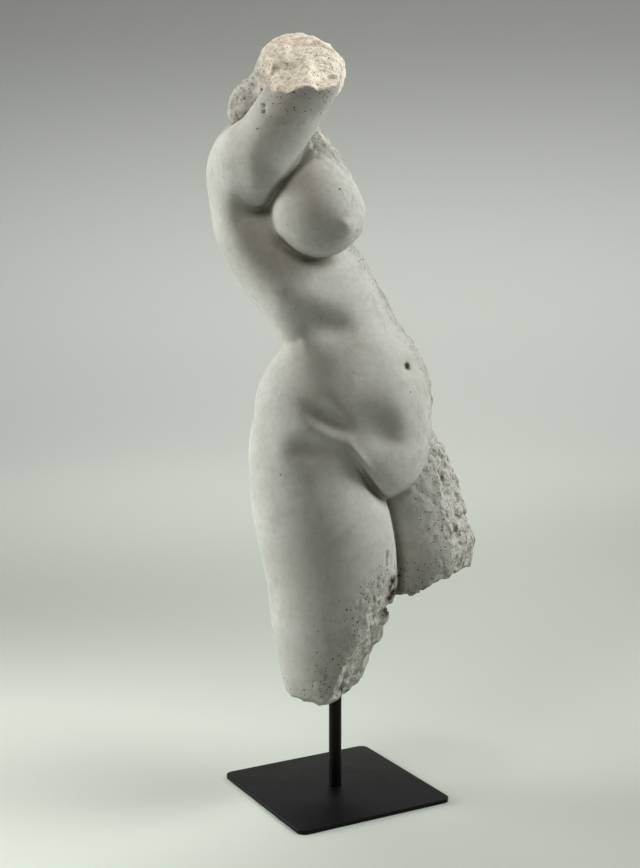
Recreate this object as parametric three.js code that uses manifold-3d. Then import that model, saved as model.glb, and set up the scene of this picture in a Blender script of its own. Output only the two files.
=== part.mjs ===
import * as THREE from "three";
import { mergeVertices } from "three/addons/utils/BufferGeometryUtils.js";
import Module from "manifold-3d";

// A fragment of a standing figure in cast plaster, broken at the neck, the raised right arm, the left side
// and both thighs. One steel rod holds it over a square steel plate. Millimetres, +Z up, the origin in the
// middle of the plate's underside.

// the plate
const PLATE_SIDE = 160;
const PLATE_THICKNESS = 4;
const PLATE_CORNER_RADIUS = 8;
const PLATE_EDGE_BREAK = 0.5;
// the rod and its seat in the plaster
const ROD_DIAMETER = 12;
const ROD_CHAMFER = 0.8;
const ROD_SIDES = 32;
const SOCKET_DEPTH = 72;
const SOCKET_CLEARANCE = 0.3;
const ROD_END_CLEARANCE = 2;
const CONTACT_GAP = 0.3;
// the plaster figure
const TORSO_FOOT_HEIGHT = 88;
const TORSO_HEIGHT = 617;
const TORSO_TURN = -28.9;
// rows of facets from the foot to the top
const FACET_ROWS = 65;

// The figure is a field: negative inside the plaster, about the distance to its surface in millimetres.
// x runs to the viewer's right, y away from the viewer, z up; the figure's own front points FRONT_TURN
// degrees to the right of the viewer, so its right flank and its front are both seen.
const RAD = Math.PI / 180;
const FRONT_TURN = 50;
const LEFT = [Math.cos(FRONT_TURN * RAD), Math.sin(FRONT_TURN * RAD)];

function clamp(value, low, high) {
  return Math.max(low, Math.min(high, value));
}

function smoothstep(from, to, value) {
  const t = clamp((value - from) / (to - from), 0, 1);
  return t * t * (3 - 2 * t);
}

// joins two fields with a fillet about `soft` wide
function join(a, b, soft) {
  const h = Math.max(soft - Math.abs(a - b), 0) / soft;
  return Math.min(a, b) - h * h * soft * 0.25;
}

// keeps what lies inside both fields, its edge eased by `soft`
function trim(a, b, soft) {
  return -join(-a, -b, soft);
}

function unit(v) {
  const length = Math.hypot(...v);
  return v.map((c) => c / length);
}

function beyond(x, y, z, point, normal) {
  return (x - point[0]) * normal[0] + (y - point[1]) * normal[1] + (z - point[2]) * normal[2];
}

// an ellipsoid with its half sizes left-right, front-back and up, leaning forward or back by `lean` degrees
function ellipsoid(centre, half, lean = 0, yaw = 0) {
  const cy = Math.cos((FRONT_TURN + yaw) * RAD);
  const sy = Math.sin((FRONT_TURN + yaw) * RAD);
  const cl = Math.cos(lean * RAD);
  const sl = Math.sin(lean * RAD);
  return (x, y, z) => {
    const dx = x - centre[0];
    const dy = y - centre[1];
    const dz = z - centre[2];
    const u = cy * dx + sy * dy;
    const back = -sy * dx + cy * dy;
    const v = cl * back + sl * dz;
    const w = -sl * back + cl * dz;
    const a = Math.hypot(u / half[0], v / half[1], w / half[2]);
    const b = Math.hypot(u / half[0] ** 2, v / half[1] ** 2, w / half[2] ** 2);
    return b < 1e-9 ? -Math.min(...half) : (a * (a - 1)) / b;
  };
}

// a limb: two balls and the straight taper between them
function taper(from, to, rFrom, rTo) {
  const axis = [to[0] - from[0], to[1] - from[1], to[2] - from[2]];
  const length2 = axis[0] ** 2 + axis[1] ** 2 + axis[2] ** 2;
  const slope = rFrom - rTo;
  const a2 = length2 - slope * slope;
  return (x, y, z) => {
    const p = [x - from[0], y - from[1], z - from[2]];
    const along = p[0] * axis[0] + p[1] * axis[1] + p[2] * axis[2];
    const past = along - length2;
    const q2 = p.reduce((sum, c, i) => sum + (c * length2 - axis[i] * along) ** 2, 0);
    const k = Math.sign(slope) * slope * slope * q2;
    if (Math.sign(past) * a2 * past * past * length2 > k) {
      return Math.sqrt(q2 + past * past * length2) / length2 - rTo;
    }
    if (Math.sign(along) * a2 * along * along * length2 < k) {
      return Math.sqrt(q2 + along * along * length2) / length2 - rFrom;
    }
    return (Math.sqrt((q2 * a2) / length2) + along * slope) / length2 - rFrom;
  };
}

// reads a row of values at height z from rows sorted by their first value, smoothly between rows
function rowAt(rows, z) {
  const last = rows.length - 1;
  if (z <= rows[0][0]) return rows[0];
  if (z >= rows[last][0]) return rows[last];
  let i = 0;
  while (z > rows[i + 1][0]) i++;
  const before = rows[Math.max(0, i - 1)];
  const a = rows[i];
  const b = rows[i + 1];
  const after = rows[Math.min(last, i + 2)];
  const h = b[0] - a[0];
  const t = (z - a[0]) / h;
  const ease = t * t * (3 - 2 * t);
  return a.map((value, j) => {
    const slopeIn = (b[j] - before[j]) / (b[0] - before[0]);
    const slopeOut = (after[j] - value) / (after[0] - a[0]);
    const bend = h * t * (1 - t) * ((1 - t) * slopeIn - t * slopeOut);
    return value + (b[j] - value) * ease + bend;
  });
}

// a body of stacked ovals; each row is height, centre x, centre y, then the reach to the left, front, back
// and right of the body
function stack(rows, yaw, bottom, top) {
  const c = Math.cos(yaw * RAD);
  const s = Math.sin(yaw * RAD);
  return (x, y, z) => {
    const [, cx, cy, toLeft, toFront, toBack, toRight] = rowAt(rows, z);
    const dx = x - cx;
    const dy = y - cy;
    const side = dx * c + dy * s;
    const front = dx * s - dy * c;
    const a = side > 0 ? toLeft : toRight;
    const b = front > 0 ? toFront : toBack;
    const r = Math.hypot(side / a, front / b);
    const g = Math.hypot(side / (a * a), front / (b * b));
    const d = g < 1e-9 ? -Math.min(a, b) : (0.86 * r * (r - 1)) / g;
    return trim(trim(d, z - top, 30), bottom - z, 30);
  };
}

// smooth random relief from -1 to 1 on a lattice of whole numbers
function knot(i, j, k) {
  let n = Math.imul(i, 73856093) ^ Math.imul(j, 19349663) ^ Math.imul(k, 83492791);
  n = Math.imul(n ^ (n >>> 13), 1274126177);
  n ^= n >>> 16;
  return (n >>> 0) / 2147483648 - 1;
}

function relief(x, y, z) {
  const i = Math.floor(x);
  const j = Math.floor(y);
  const k = Math.floor(z);
  const fade = (t) => t * t * t * (t * (t * 6 - 15) + 10);
  const u = fade(x - i);
  const v = fade(y - j);
  const w = fade(z - k);
  const mix = (a, b, t) => a + (b - a) * t;
  const layer = (c) => mix(mix(knot(i, j, c), knot(i + 1, j, c), u), mix(knot(i, j + 1, c), knot(i + 1, j + 1, c), u), v);
  return mix(layer(k), layer(k + 1), w);
}

// broken plaster: coarse lumps with smaller ones on them
function rubble(x, y, z) {
  return 3.2 * relief(x / 21, y / 21, z / 21) + 1.8 * (3 * Math.abs(relief(x / 12 + 7, y / 12, z / 12)) - 1);
}

// The carving is drawn in its own millimetres, in this box, and then fitted to TORSO_HEIGHT.
const drawnLow = [-134, -92, 74];
const drawnHigh = [150, 156, 721];

const trunk = stack([
  [250, 4, 34, 92, 50, 58, 84],
  [300, 8, 34, 103, 56, 62, 94],
  [345, 11, 34, 102, 64, 60, 96],
  [385, 16, 33, 94, 66, 54, 90],
  [420, 14, 32, 84, 58, 48, 80],
  [450, -1, 32, 78, 53, 48, 76],
  [485, -21, 33, 79, 54, 56, 82],
  [520, -38, 33, 83, 56, 61, 83],
  [560, -46, 33, 83, 54, 62, 77],
  [590, -52, 35, 74, 47, 58, 68],
  [615, -60, 38, 52, 36, 48, 50],
  [640, -66, 38, 36, 30, 40, 34],
], FRONT_TURN, 274, 636);
const rightThigh = stack([
  [60, -5, 0, 36, 40, 40, 34],
  [100, -5, 0, 47, 46, 46, 42],
  [130, -4, 0, 52, 52, 51, 50],
  [165, -4, 0, 58, 57, 56, 56],
  [200, -4, 1, 62, 61, 58, 60],
  [235, -8, 2, 65, 64, 61, 63],
  [270, -14, 4, 65, 65, 64, 64],
  [305, -19, 8, 60, 62, 66, 61],
  [350, -22, 14, 46, 54, 58, 56],
], 20, 60, 362);
const leftThigh = taper([58, 70, 300], [98, 48, 186], 58, 55);
const rightButtock = ellipsoid([-28, 32, 312], [52, 48, 56]);
const leftButtock = ellipsoid([34, 84, 302], [52, 50, 54]);
const rightHip = ellipsoid([-27, 16, 366], [52, 46, 60]);
const mound = ellipsoid([52, -3, 340], [47, 23, 46], -4);
const breast = ellipsoid([-16, -25, 544], [42, 39, 41]);
const breastTip = taper([-12, -29, 545], [4, -52, 535], 33, 10);
const breastTop = ellipsoid([-28, 2, 577], [34, 26, 50], 14);
const upperArm = taper([-65.5, -36, 597], [-25, -41, 658], 29.5, 28);
const shoulder = ellipsoid([-76, 0, 586], [30, 34, 37], 0);
const upperArmRoot = ellipsoid([-77, -22, 590], [26, 31, 33], 0, -10);
const flank = taper([-84, 26, 583], [-56, 30, 480], 24, 22);
const shoulderBlade = ellipsoid([-84, 58, 556], [34, 22, 44], 0, 20);
const neck = taper([-60, 38, 600], [-58, 22, 650], 36, 24);
const headLow = ellipsoid([-76, 17, 640], [23, 24, 28]);
const headTop = taper([-56, 6, 655], [-35, -4, 673], 24.5, 29.5);
const headEnd = taper([-35, -4, 673], [-17, -10, 668], 29.5, 25);

// carved lines as the viewer sees them: points x and z, half width, depth; a negative depth is a ridge
const lines = [
  [[[42, 343], [62, 338], [84, 340]], 7, 0.8],
  [[[46, 490], [60, 440], [65, 412]], 11, 1.8],
  [[[64.8, 407.5], [65.2, 406]], 2.6, 4.5],
  [[[-58, 426], [-36, 431]], 5, 2],
  [[[-48, 466], [-10, 470], [28, 478]], 14, -3.4],
  [[[-80, 622], [-86, 596], [-82, 562]], 9, 1.8],
  [[[-48, 518], [-34, 509], [-14, 505], [6, 508], [20, 517]], 7, 4],
  [[[7, 534.5], [8, 534.5]], 5.5, -2.6],
];
// soft hollows and swellings: centre x and z, half width, half height, turn, depth
const hollows = [
  [-8, 366, 20, 9, -36, 7.5],
  [-12, 350, 24, 8, -20, -1.6],
  [20, 327, 22, 6, -57, -3.6],
  [28, 309, 26, 4, -59, 6],
  [-24, 339, 17, 12, 10, 4.5],
  [39, 350, 20, 18, -20, 9.5],
  [62, 384, 24, 34, 0, -4],
  [-6, 442, 23, 14, 0, 8.5],
];

function distanceToLine(x, z, points) {
  let least = Infinity;
  for (let i = 1; i < points.length; i++) {
    const [ax, az] = points[i - 1];
    const bx = points[i][0] - ax;
    const bz = points[i][1] - az;
    const t = clamp(((x - ax) * bx + (z - az) * bz) / (bx * bx + bz * bz), 0, 1);
    least = Math.min(least, Math.hypot(x - ax - bx * t, z - az - bz * t));
  }
  return least;
}

function carving(x, y, z) {
  const facing = 1 - smoothstep(8, 40, y);
  if (facing === 0) return 0;
  let deep = 0;
  for (const [points, half, depth] of lines) {
    const r = distanceToLine(x, z, points) / half;
    if (r < 3) deep += depth * Math.exp(-r * r);
  }
  for (const [cx, cz, halfWide, halfHigh, turn, depth] of hollows) {
    const c = Math.cos(turn * RAD);
    const s = Math.sin(turn * RAD);
    const p = ((x - cx) * c + (z - cz) * s) / halfWide;
    const q = ((z - cz) * c - (x - cx) * s) / halfHigh;
    deep += depth * Math.exp(-p * p - q * q);
  }
  return deep * facing;
}

function armpit(x, y, z) {
  const across = (x + 72 + 0.5 * (z - 546)) / 22;
  const along = (z - 546) / 34;
  const under = distanceToLine(x, z, [[-66, 553], [-42, 583], [-20, 609]]) / 11;
  const deep = 14 * Math.exp(-across * across - along * along) + 8 * Math.exp(-under * under);
  return deep * (1 - smoothstep(0, 30, y));
}

// the broken left side: height, body axis x and y, how far left of that axis the plaster still stands
const leftEdge = [
  [120, 0, 34, 130], [250, 4, 34, 118], [330, 8, 34, 88], [380, 14, 32, 62], [415, 15, 32, 46],
  [440, 6, 32, 42], [475, -15, 33, 40], [520, -38, 33, 32], [560, -46, 33, 26], [600, -54, 34, 30],
  [700, -78, 34, 90],
];
// the ragged front rim of that break: height, how far right it reaches as the viewer sees it
const frontRim = [
  [200, 140], [320, 104], [334, 97], [378, 96], [411, 90], [435, 73], [470, 57], [502, 36], [522, 36],
  [545, 42], [568, 34], [592, 12], [612, -8], [640, -16], [700, -16],
];
const armBreak = unit([0, -0.58, 0.81]);
const headBreak = unit([0.05, -0.66, 0.75]);
const thighBreak = unit([0.85, -0.35, -0.42]);
const stubBreak = unit([0.3, -0.1, -1]);
const stubSideHigh = unit([0.86, -0.4, 0.31]);
const stubSideLow = unit([0.86, -0.4, -0.34]);

function torso(x, y, z) {
  const rough = rubble(x, y, z);
  const axis = rowAt(leftEdge, z);
  const left = (x - axis[1]) * LEFT[0] + (y - axis[2]) * LEFT[1];
  // the trunk, without limbs
  let d = trunk(x, y, z);
  d = join(d, rightHip(x, y, z), 14);
  d = join(d, join(rightButtock(x, y, z), leftButtock(x, y, z), 6), 24);
  d = join(d, flank(x, y, z), 24);
  d = join(d, shoulderBlade(x, y, z), 26);
  d = join(d, mound(x, y, z), 24);
  // the spine's furrow, only on the back
  const behind = smoothstep(20, 60, y * LEFT[0] - x * LEFT[1] + 20);
  d += 5 * behind * Math.exp(-((left / 13) ** 2)) * smoothstep(285, 330, z) * (1 - smoothstep(585, 620, z));
  // thighs, each with its own break
  let stub = leftThigh(x, y, z);
  stub = trim(stub, beyond(x, y, z, [88, 50, 194], stubBreak) - rough, 3);
  stub = trim(stub, beyond(x, y, z, [122, 66, 283], stubSideHigh) - rough, 4);
  stub = trim(stub, beyond(x, y, z, [142, 66, 234], stubSideLow) - rough, 4);
  d = join(d, stub, 3);
  let thigh = rightThigh(x, y, z);
  thigh = trim(thigh, beyond(x, y, z, [31, 0, 143], thighBreak) - rough, 3);
  d = join(d, thigh, 2.5 + 7 * smoothstep(292, 330, z));
  d = join(d, neck(x, y, z), 12);
  d = join(d, breastTop(x, y, z), 26);
  // the hollow under the raised arm
  d += armpit(x, y, z);
  const breastWhole = join(breast(x, y, z), breastTip(x, y, z), 14);
  d = join(d, breastWhole, 4 + 34 * smoothstep(540, 588, z));
  // the broken left side and its front rim
  d = trim(d, (left - axis[3]) * 0.85 - rough, 6);
  d = trim(d, (x - rowAt(frontRim, z)[1]) * 0.93 - y * 0.2 - rough * 0.8, 6);
  // the raised arm melts into the shoulder but stands clear of the chest
  const soft = 2.5 + 15 * smoothstep(-66, -98, x) + 8 * smoothstep(0, 30, y);
  let arm = join(join(upperArm(x, y, z), upperArmRoot(x, y, z), 22), shoulder(x, y, z), 20);
  const notch = 7 * Math.exp(-(((x + 27) / 9) ** 2));
  arm = trim(arm, beyond(x, y, z, [-30, -58, 652.5 + notch], armBreak) - rough * 0.5, 3);
  d = join(d, arm, soft);
  let head = join(join(headLow(x, y, z), headTop(x, y, z), 8), headEnd(x, y, z), 16);
  head = trim(head + rough * 0.35, beyond(x, y, z, [-30, -58, 655], headBreak) - rough * 0.4, 5);
  d = join(d, head, 3);
  d += carving(x, y, z);
  // the broken foot of the right thigh, a little lower in its middle
  const foot = 90.6 + 0.0036 * ((x - 5) ** 2 + y * y) + rough * 0.6;
  d = trim(d, foot - z, 8);
  return d * 0.8;
}

// Nets a closed surface over the field: one vertex in each cell that the surface passes through.
function netSurface(field, low, high, step) {
  const count = low.map((v, i) => Math.ceil((high[i] - v) / step) + 1);
  const [nx, ny, nz] = count;
  const strides = [1, nx, nx * ny];
  const values = new Float64Array(nx * ny * nz);
  for (let k = 0, n = 0; k < nz; k++) {
    for (let j = 0; j < ny; j++) {
      for (let i = 0; i < nx; i++, n++) {
        values[n] = field(low[0] + i * step, low[1] + j * step, low[2] + k * step) || 1e-6;
      }
    }
  }
  separate(values, count, strides);
  // vertices
  const vertexOf = new Map();
  const positions = [];
  const corner = [0, 1, 2, 3, 4, 5, 6, 7].map((c) => [c & 1, (c >> 1) & 1, c >> 2]);
  for (let k = 0; k < nz - 1; k++) {
    for (let j = 0; j < ny - 1; j++) {
      for (let i = 0; i < nx - 1; i++) {
        const base = i + j * nx + k * nx * ny;
        const v = corner.map(([a, b, c]) => values[base + a + b * nx + c * nx * ny]);
        const inside = v.filter((x) => x < 0).length;
        if (inside === 0 || inside === 8) continue;
        const sum = [0, 0, 0];
        let crossings = 0;
        for (let c = 0; c < 8; c++) {
          for (let axis = 0; axis < 3; axis++) {
            const other = c | (1 << axis);
            if (other === c || v[c] < 0 === v[other] < 0) continue;
            const t = v[c] / (v[c] - v[other]);
            corner[c].forEach((x, m) => (sum[m] += x + (m === axis ? t : 0)));
            crossings++;
          }
        }
        const cell = [i, j, k].map((x, m) => low[m] + x * step);
        const start = sum.map((x, m) => cell[m] + (x / crossings) * step);
        vertexOf.set(base, positions.length / 3);
        positions.push(...settle(field, start, cell, step));
      }
    }
  }
  // one quad round each grid edge that the surface crosses
  const index = [];
  const point = (n) => positions.slice(3 * n, 3 * n + 3);
  const apart = (a, b) => Math.hypot(...point(a).map((x, m) => x - point(b)[m]));
  for (let k = 1; k < nz - 1; k++) {
    for (let j = 1; j < ny - 1; j++) {
      for (let i = 1; i < nx - 1; i++) {
        const n = i + j * nx + k * nx * ny;
        for (let axis = 0; axis < 3; axis++) {
          const here = values[n] < 0;
          if (here === values[n + strides[axis]] < 0) continue;
          const su = strides[(axis + 1) % 3];
          const sv = strides[(axis + 2) % 3];
          let quad = [n - su - sv, n - sv, n, n - su].map((base) => vertexOf.get(base));
          if (!here) quad = quad.reverse();
          const [a, b, c, d] = quad;
          if (apart(a, c) <= apart(b, d)) index.push(a, b, c, a, c, d);
          else index.push(b, c, d, b, d, a);
        }
      }
    }
  }
  const geometry = new THREE.BufferGeometry();
  geometry.setAttribute("position", new THREE.Float32BufferAttribute(positions, 3));
  geometry.setIndex(index);
  return geometry;
}

// turns over the weakest sample wherever two bodies would touch only along an edge or at a corner
function separate(values, count, strides) {
  const flip = (list) => {
    const weakest = list.reduce((a, b) => (Math.abs(values[b]) < Math.abs(values[a]) ? b : a));
    values[weakest] = values[weakest] < 0 ? 1e-3 : -1e-3;
  };
  for (let pass = 0, changed = true; changed && pass < 40; pass++) {
    changed = false;
    for (let k = 0; k < count[2] - 1; k++) {
      for (let j = 0; j < count[1] - 1; j++) {
        for (let i = 0; i < count[0] - 1; i++) {
          const n = i + j * strides[1] + k * strides[2];
          for (let axis = 0; axis < 3; axis++) {
            const su = strides[(axis + 1) % 3];
            const sv = strides[(axis + 2) % 3];
            const face = [n, n + su, n + su + sv, n + sv];
            const [a, b, c, d] = face.map((m) => values[m] < 0);
            if (a === c && b === d && a !== b) {
              flip(face);
              changed = true;
            }
          }
          const cell = [0, 1, 2, 3, 4, 5, 6, 7].map(
            (c) => n + (c & 1) * strides[0] + ((c >> 1) & 1) * strides[1] + (c >> 2) * strides[2],
          );
          const signs = cell.map((m) => values[m] < 0);
          const inside = signs.filter(Boolean).length;
          if (inside !== 2 && inside !== 6) continue;
          const odd = [0, 1, 2, 3, 4, 5, 6, 7].filter((c) => signs[c] === (inside === 2));
          if (odd[0] + odd[1] === 7) {
            flip(odd.map((c) => cell[c]));
            changed = true;
          }
        }
      }
    }
  }
}

// moves a point onto the surface without letting it leave its cell
function settle(field, start, cell, step) {
  const p = [...start];
  const e = 0.05;
  for (let pass = 0; pass < 4; pass++) {
    const value = field(...p);
    const slope = [0, 1, 2].map((m) => {
      const ahead = [...p];
      ahead[m] += e;
      return (field(...ahead) - value) / e;
    });
    const g2 = slope.reduce((sum, s) => sum + s * s, 0) || 1;
    for (let m = 0; m < 3; m++) {
      p[m] = clamp(p[m] - (0.9 * value * slope[m]) / g2, cell[m] + 0.06 * step, cell[m] + 0.94 * step);
    }
  }
  return p;
}

const wasm = await Module();
wasm.setup();

function toSolid(geometry) {
  const bare = geometry.clone();
  bare.deleteAttribute("normal");
  bare.deleteAttribute("uv");
  const merged = mergeVertices(bare, 1e-4);
  return new wasm.Manifold(new wasm.Mesh({
    numProp: 3,
    vertProperties: new Float32Array(merged.attributes.position.array),
    triVerts: new Uint32Array(merged.index.array),
  }));
}

function toGeometry(solid) {
  const mesh = solid.getMesh();
  const geometry = new THREE.BufferGeometry();
  geometry.setAttribute("position", new THREE.Float32BufferAttribute(mesh.vertProperties, 3));
  geometry.setIndex([...mesh.triVerts]);
  geometry.computeVertexNormals();
  return geometry;
}

// The torso, turned on its stand, with the rod's socket drilled up into its foot.
function makeTorso() {
  const geometry = netSurface(torso, drawnLow, drawnHigh, (drawnHigh[2] - drawnLow[2]) / FACET_ROWS);
  geometry.computeBoundingBox();
  const { min, max } = geometry.boundingBox;
  const scale = TORSO_HEIGHT / (max.z - min.z);
  geometry.translate(0, 0, -min.z);
  geometry.scale(scale, scale, scale);
  geometry.rotateZ(TORSO_TURN * RAD);
  geometry.translate(0, 0, TORSO_FOOT_HEIGHT);
  // the socket's flats keep the clearance, so its corners lie a little further out
  const socketRadius = (ROD_DIAMETER / 2 + SOCKET_CLEARANCE) / Math.cos(Math.PI / ROD_SIDES);
  const overrun = TORSO_FOOT_HEIGHT / 2;
  const socket = new THREE.CylinderGeometry(socketRadius, socketRadius, SOCKET_DEPTH + overrun, ROD_SIDES);
  socket.rotateX(Math.PI / 2);
  socket.translate(0, 0, TORSO_FOOT_HEIGHT + SOCKET_DEPTH - (SOCKET_DEPTH + overrun) / 2);
  return toGeometry(toSolid(geometry).subtract(toSolid(socket)));
}

// The rod stands on the plate and ends just short of the socket's end.
function makeRod() {
  const foot = PLATE_THICKNESS + CONTACT_GAP;
  const top = TORSO_FOOT_HEIGHT + SOCKET_DEPTH - ROD_END_CLEARANCE;
  const radius = ROD_DIAMETER / 2;
  const profile = [
    [0, foot],
    [radius, foot],
    [radius, top - ROD_CHAMFER],
    [radius - ROD_CHAMFER, top],
    [0, top],
  ].map(([r, z]) => new THREE.Vector2(r, z));
  return new THREE.LatheGeometry(profile, ROD_SIDES).rotateX(Math.PI / 2);
}

function makePlate() {
  const half = PLATE_SIDE / 2;
  const radius = PLATE_CORNER_RADIUS;
  const outline = new THREE.Shape();
  const corners = [[1, 1], [-1, 1], [-1, -1], [1, -1]];
  corners.forEach(([sx, sy], i) => {
    const from = (i * Math.PI) / 2;
    outline.absarc(sx * (half - radius), sy * (half - radius), radius, from, from + Math.PI / 2, false);
  });
  outline.closePath();
  const geometry = new THREE.ExtrudeGeometry(outline, {
    depth: PLATE_THICKNESS - 2 * PLATE_EDGE_BREAK,
    bevelThickness: PLATE_EDGE_BREAK,
    bevelSize: PLATE_EDGE_BREAK,
    bevelOffset: -PLATE_EDGE_BREAK,
    bevelSegments: 1,
    curveSegments: 8,
  });
  geometry.translate(0, 0, PLATE_EDGE_BREAK);
  return geometry;
}

const plaster = new THREE.MeshStandardMaterial({ color: 0xc9c6bd, roughness: 0.85, metalness: 0 });
const blackSteel = new THREE.MeshStandardMaterial({ color: 0x15191a, roughness: 0.45, metalness: 0 });

function named(name, geometry, material) {
  const mesh = new THREE.Mesh(geometry, material);
  mesh.name = name;
  return mesh;
}

const group = new THREE.Group();
group.add(named("base_plate", makePlate(), blackSteel));
group.add(named("rod", makeRod(), blackSteel));
group.add(named("torso", makeTorso(), plaster));

export default group;
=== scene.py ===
import math
from concurrent.futures import ThreadPoolExecutor

import bmesh
import bpy
import numpy as np
from mathutils import Matrix, Vector


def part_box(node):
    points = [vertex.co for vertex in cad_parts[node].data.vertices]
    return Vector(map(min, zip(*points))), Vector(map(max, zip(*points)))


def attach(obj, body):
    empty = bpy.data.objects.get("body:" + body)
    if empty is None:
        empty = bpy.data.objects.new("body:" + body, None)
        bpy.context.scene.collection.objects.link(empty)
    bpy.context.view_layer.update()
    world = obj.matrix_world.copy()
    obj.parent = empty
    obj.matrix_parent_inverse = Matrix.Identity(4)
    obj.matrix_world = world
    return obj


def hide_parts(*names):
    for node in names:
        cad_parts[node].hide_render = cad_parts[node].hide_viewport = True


# A broken plaster cast of a standing figure, held over a square steel plate by one rod.
# The frame has +Z up and its origin in the middle of the plate's underside.

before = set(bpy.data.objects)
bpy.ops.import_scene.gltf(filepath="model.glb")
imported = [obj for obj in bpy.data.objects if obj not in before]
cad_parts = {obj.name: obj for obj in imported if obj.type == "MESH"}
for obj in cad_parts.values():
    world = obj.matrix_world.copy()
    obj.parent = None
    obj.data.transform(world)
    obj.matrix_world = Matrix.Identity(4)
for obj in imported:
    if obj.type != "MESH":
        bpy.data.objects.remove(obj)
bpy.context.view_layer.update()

MM = 0.001

# stand, in millimetres
PLATE_SIDE = 160.0
PLATE_THICKNESS = 4.0
PLATE_CORNER_RADIUS = 8.0
PLATE_EDGE_BREAK = 0.5
ROD_DIAMETER = 12.0
ROD_CHAMFER = 0.8
SOCKET_CLEARANCE = 0.3
SOCKET_DEPTH = 72.0
TORSO_FOOT_HEIGHT = 88.0
ROD_END_CLEARANCE = 2.0
TORSO_TURN = -28.9

# the cast: spacing of its fine surface, and the triangles it may keep
FINE_STEP = 1.6
TRIANGLE_LIMIT = 190000
# how far from a break its pinholes reach
NEAR_BREAK = 42.0


def place_camera():
    """The photograph's view: a short telephoto a little above the middle of the figure."""
    data = bpy.data.cameras.new("photo_view")
    data.lens = 56.8
    data.sensor_width = 36.0
    data.clip_start = 0.05
    data.clip_end = 40.0
    camera = bpy.data.objects.new("photo_view", data)
    camera.location = (-0.621, -1.095, 0.508)
    camera.rotation_euler = (math.radians(90.0 - 7.45), 0.0, math.radians(TORSO_TURN))
    bpy.context.collection.objects.link(camera)
    bpy.context.scene.camera = camera


place_camera()


# The figure is a field: negative inside the plaster, about the distance to its surface in millimetres.
# x runs to the viewer's right, y away from the viewer, z up. The figure's own front points FRONT_TURN
# degrees to the right of the viewer.
FRONT_TURN = 50.0
LEFT = (math.cos(math.radians(FRONT_TURN)), math.sin(math.radians(FRONT_TURN)))


def smoothstep(start, end, value):
    t = np.clip((value - start) / (end - start), 0.0, 1.0)
    return t * t * (3.0 - 2.0 * t)


def join(a, b, soft):
    """Joins two fields with a fillet about soft wide."""
    h = np.maximum(soft - np.abs(a - b), 0.0) / soft
    return np.minimum(a, b) - h * h * soft * 0.25


def trim(a, b, soft):
    """Keeps what lies inside both fields, its edge eased by soft."""
    return -join(-a, -b, soft)


def unit(v):
    return np.array(v, float) / np.linalg.norm(v)


def beyond(x, y, z, point, normal):
    return (x - point[0]) * normal[0] + (y - point[1]) * normal[1] + (z - point[2]) * normal[2]


def ellipsoid(centre, half, lean=0.0, yaw=0.0):
    """Half sizes run left-right, front-back and up; lean tips it forward or back, in degrees."""
    cy, sy = math.cos(math.radians(FRONT_TURN + yaw)), math.sin(math.radians(FRONT_TURN + yaw))
    cl, sl = math.cos(math.radians(lean)), math.sin(math.radians(lean))

    def field(x, y, z):
        dx, dy, dz = x - centre[0], y - centre[1], z - centre[2]
        u = cy * dx + sy * dy
        back = -sy * dx + cy * dy
        v = cl * back + sl * dz
        w = -sl * back + cl * dz
        a = np.sqrt((u / half[0]) ** 2 + (v / half[1]) ** 2 + (w / half[2]) ** 2)
        b = np.sqrt((u / half[0] ** 2) ** 2 + (v / half[1] ** 2) ** 2 + (w / half[2] ** 2) ** 2)
        return a * (a - 1.0) / np.maximum(b, 1e-9)

    return field


def taper(start, end, r_start, r_end):
    """A limb: two balls and the straight taper between them."""
    start = np.array(start, float)
    axis = np.array(end, float) - start
    length2 = float(axis @ axis)
    slope = r_start - r_end
    a2 = length2 - slope * slope

    def field(x, y, z):
        px, py, pz = x - start[0], y - start[1], z - start[2]
        along = px * axis[0] + py * axis[1] + pz * axis[2]
        past = along - length2
        q2 = (px * length2 - axis[0] * along) ** 2
        q2 = q2 + (py * length2 - axis[1] * along) ** 2
        q2 = q2 + (pz * length2 - axis[2] * along) ** 2
        k = math.copysign(1.0, slope) * slope * slope * q2
        at_end = np.sqrt(q2 + past * past * length2) / length2 - r_end
        at_start = np.sqrt(q2 + along * along * length2) / length2 - r_start
        between = (np.sqrt(q2 * a2 / length2) + along * slope) / length2 - r_start
        out = np.where(np.sign(along) * a2 * along * along * length2 < k, at_start, between)
        return np.where(np.sign(past) * a2 * past * past * length2 > k, at_end, out)

    return field


def row_at(rows, z):
    """Reads the rows, sorted by their first value, at every height in z, smoothly between rows."""
    rows = np.array(rows, float)
    last = len(rows) - 1
    i = np.clip(np.searchsorted(rows[:, 0], z, side="left") - 1, 0, last - 1)
    a, b = rows[i], rows[i + 1]
    before, after = rows[np.maximum(i - 1, 0)], rows[np.minimum(i + 2, last)]
    h = (b[:, 0] - a[:, 0])[:, None]
    t = np.clip((z - a[:, 0]) / h[:, 0], 0.0, 1.0)[:, None]
    slope_in = (b - before) / (b[:, :1] - before[:, :1])
    slope_out = (after - a) / (after[:, :1] - a[:, :1])
    bend = h * t * (1.0 - t) * ((1.0 - t) * slope_in - t * slope_out)
    return (a + (b - a) * t * t * (3.0 - 2.0 * t) + bend).T


def stack(rows, yaw, bottom, top):
    """Stacked ovals: height, centre x and y, then the reach to the left, front, back and right."""
    c, s = math.cos(math.radians(yaw)), math.sin(math.radians(yaw))

    def field(x, y, z):
        _, cx, cy, to_left, to_front, to_back, to_right = row_at(rows, z)
        dx, dy = x - cx, y - cy
        side = dx * c + dy * s
        front = dx * s - dy * c
        a = np.where(side > 0, to_left, to_right)
        b = np.where(front > 0, to_front, to_back)
        r = np.hypot(side / a, front / b)
        g = np.maximum(np.hypot(side / (a * a), front / (b * b)), 1e-9)
        d = 0.86 * r * (r - 1.0) / g
        return trim(trim(d, z - top, 30.0), bottom - z, 30.0)

    return field


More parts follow.
